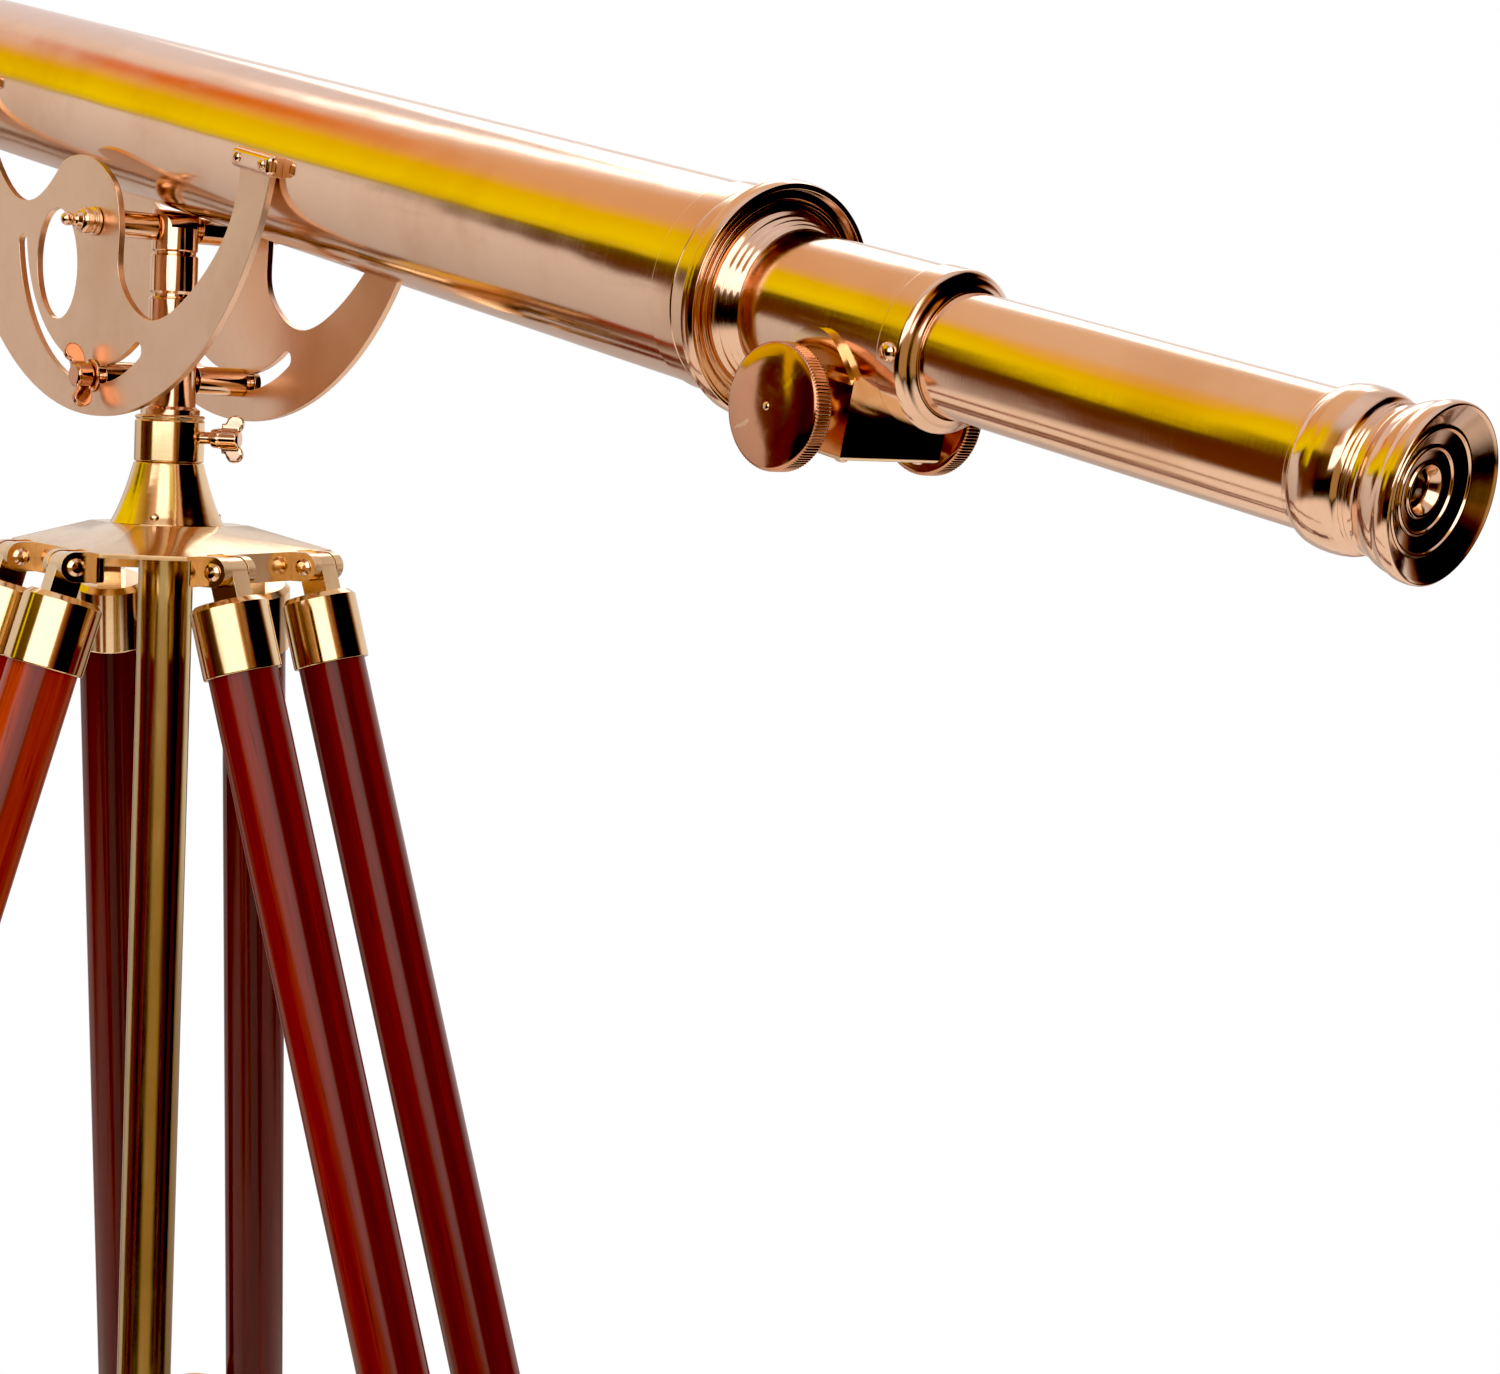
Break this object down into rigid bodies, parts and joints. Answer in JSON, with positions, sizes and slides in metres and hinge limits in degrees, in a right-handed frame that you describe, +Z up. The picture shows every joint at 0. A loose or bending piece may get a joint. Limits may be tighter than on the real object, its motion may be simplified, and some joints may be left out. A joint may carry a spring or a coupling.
{
  "type": "brass telescope",
  "caption": "Brass refracting telescope with rack-and-pinion focuser on a crescent cradle, swivel pillar and mahogany double-rod folding tripod.",
  "frame": {"origin": "on the floor, directly under the centre column", "axes": "+Z up along the centre column; -X the way the objective points; +X towards the eyepiece; -Y the near side with the tilt wing nut"},
  "size_m": [1.2152, 0.7432, 1.6575],
  "materials": {
    "brass": "polished and lacquered",
    "mahogany": "high-gloss varnish",
    "glass": "optically polished",
    "blackened": "matt optical black"
  },
  "bodies": {
    "head": {"hub_cone": "brass", "hub_screws": "brass", "tripod_head": "brass", "hinge_pins": "brass"},
    "column": {"sleeve": "brass", "column_tube": "brass", "column_cap": "brass"},
    "column_lock": {"column_lock": "brass"},
    "azimuth_screw": {"azimuth_screw": "brass"},
    "pillar": {"pillar": "brass", "cross_tubes": "brass", "pivot_axle": "brass", "pivot_finials": "brass", "clamp_bolt": "brass"},
    "tilt_wing": {"tilt_wing": "brass"},
    "telescope": {"main_tube": "brass", "objective_hood": "brass", "objective_cell": "brass", "objective_lenses": "glass", "lens_retainer": "brass", "light_baffle": "blackened", "tail_piece": "brass", "focuser_tube": "brass", "draw_guide": "brass", "focuser_collar": "brass", "collar_screw": "brass", "pinion_housing": "brass", "housing_screws": "brass", "cradle_plate_near": "brass", "cradle_plate_far": "brass", "pad_screws": "brass"},
    "draw": {"draw_tube": "brass", "rack": "brass", "eyepiece_cap": "brass", "eyepiece_lenses": "glass", "lens_cell": "blackened"},
    "pinion": {"pinion": "brass", "focus_knobs": "brass", "knob_screws": "brass"},
    "leg_1": {"leg_rods_1": "mahogany", "leg_ferrules_1": "brass", "leg_bracket_1": "brass"},
    "leg_wing_1": {"leg_wing_1": "brass"},
    "lower_1": {"lower_rod_1": "mahogany", "lower_guide_1": "brass", "foot_shoe_1": "brass"},
    "leg_2": {"leg_rods_2": "mahogany", "leg_ferrules_2": "brass", "leg_bracket_2": "brass"},
    "leg_wing_2": {"leg_wing_2": "brass"},
    "lower_2": {"lower_rod_2": "mahogany", "lower_guide_2": "brass", "foot_shoe_2": "brass"},
    "leg_3": {"leg_rods_3": "mahogany", "leg_ferrules_3": "brass", "leg_bracket_3": "brass"},
    "leg_wing_3": {"leg_wing_3": "brass"},
    "lower_3": {"lower_rod_3": "mahogany", "lower_guide_3": "brass", "foot_shoe_3": "brass"}
  },
  "joints": [
    {"name": "column_slide", "type": "slide", "parent": "head", "child": "column", "axis": [0, 0, 1], "range_m": [0, 0.25]},
    {"name": "column_lock_turn", "type": "hinge", "parent": "head", "child": "column_lock", "pos_m": [-0.01576, 0.01231, 1.334], "axis": [-0.788, 0.6157, 0], "range_deg": [0, 540]},
    {"name": "azimuth_screw_turn", "type": "hinge", "parent": "column", "child": "azimuth_screw", "pos_m": [0.01261, 0.00985, 1.3626], "axis": [0.788, 0.6157, 0], "range_deg": [0, 540]},
    {"name": "azimuth_swivel", "type": "hinge", "parent": "column", "child": "pillar", "pos_m": [0, 0, 1.35], "axis": [0, 0, 1], "continuous": true},
    {"name": "tilt_wing_turn", "type": "hinge", "parent": "pillar", "child": "tilt_wing", "pos_m": [0, -0.044, 1.39], "axis": [0, -1, 0], "range_deg": [0, 540]},
    {"name": "altitude_tilt", "type": "hinge", "parent": "pillar", "child": "telescope", "pos_m": [0, 0, 1.462], "axis": [0, 1, 0], "range_deg": [-61.5, 33]},
    {"name": "focus_slide", "type": "slide", "parent": "telescope", "child": "draw", "axis": [0.9799, 0, -0.1994], "range_m": [-0.148, 0.018]},
    {"name": "pinion_turn", "type": "hinge", "parent": "telescope", "child": "pinion", "pos_m": [0.46139, 0, 1.38742], "axis": [0, 1, 0], "range_deg": [-1010.5, 123.5]},
    {"name": "leg_fold_1", "type": "hinge", "parent": "head", "child": "leg_1", "pos_m": [0.05837, 0.02358, 1.3025], "axis": [-0.3746, 0.9272, 0], "range_deg": [0, 16]},
    {"name": "leg_wing_turn_1", "type": "hinge", "parent": "leg_1", "child": "leg_wing_1", "pos_m": [0.2689, 0.10864, 0.53226], "axis": [0.8881, 0.3588, 0.2873], "range_deg": [0, 540]},
    {"name": "leg_extend_1", "type": "slide", "parent": "leg_1", "child": "lower_1", "axis": [0.2664, 0.1076, -0.9578], "range_m": [0, 0.22]},
    {"name": "leg_fold_2", "type": "hinge", "parent": "head", "child": "leg_2", "pos_m": [-0.04961, 0.03876, 1.3025], "axis": [-0.6157, -0.788, 0], "range_deg": [0, 16]},
    {"name": "leg_wing_turn_2", "type": "hinge", "parent": "leg_2", "child": "leg_wing_2", "pos_m": [-0.22854, 0.17855, 0.53226], "axis": [-0.7548, 0.5897, 0.2873], "range_deg": [0, 540]},
    {"name": "leg_extend_2", "type": "slide", "parent": "leg_2", "child": "lower_2", "axis": [-0.2264, 0.1769, -0.9578], "range_m": [0, 0.22]},
    {"name": "leg_fold_3", "type": "hinge", "parent": "head", "child": "leg_3", "pos_m": [-0.00876, -0.06234, 1.3025], "axis": [0.9903, -0.1392, 0], "range_deg": [0, 16]},
    {"name": "leg_wing_turn_3", "type": "hinge", "parent": "leg_3", "child": "leg_wing_3", "pos_m": [-0.04036, -0.2872, 0.53226], "axis": [-0.1333, -0.9485, 0.2873], "range_deg": [0, 540]},
    {"name": "leg_extend_3", "type": "slide", "parent": "leg_3", "child": "lower_3", "axis": [-0.04, -0.2846, -0.9578], "range_m": [0, 0.22]}
  ],
  "couplings": [
    {"joint": "pinion_turn", "follows": "focus_slide", "rad_per_m": 119.05}
  ]
}
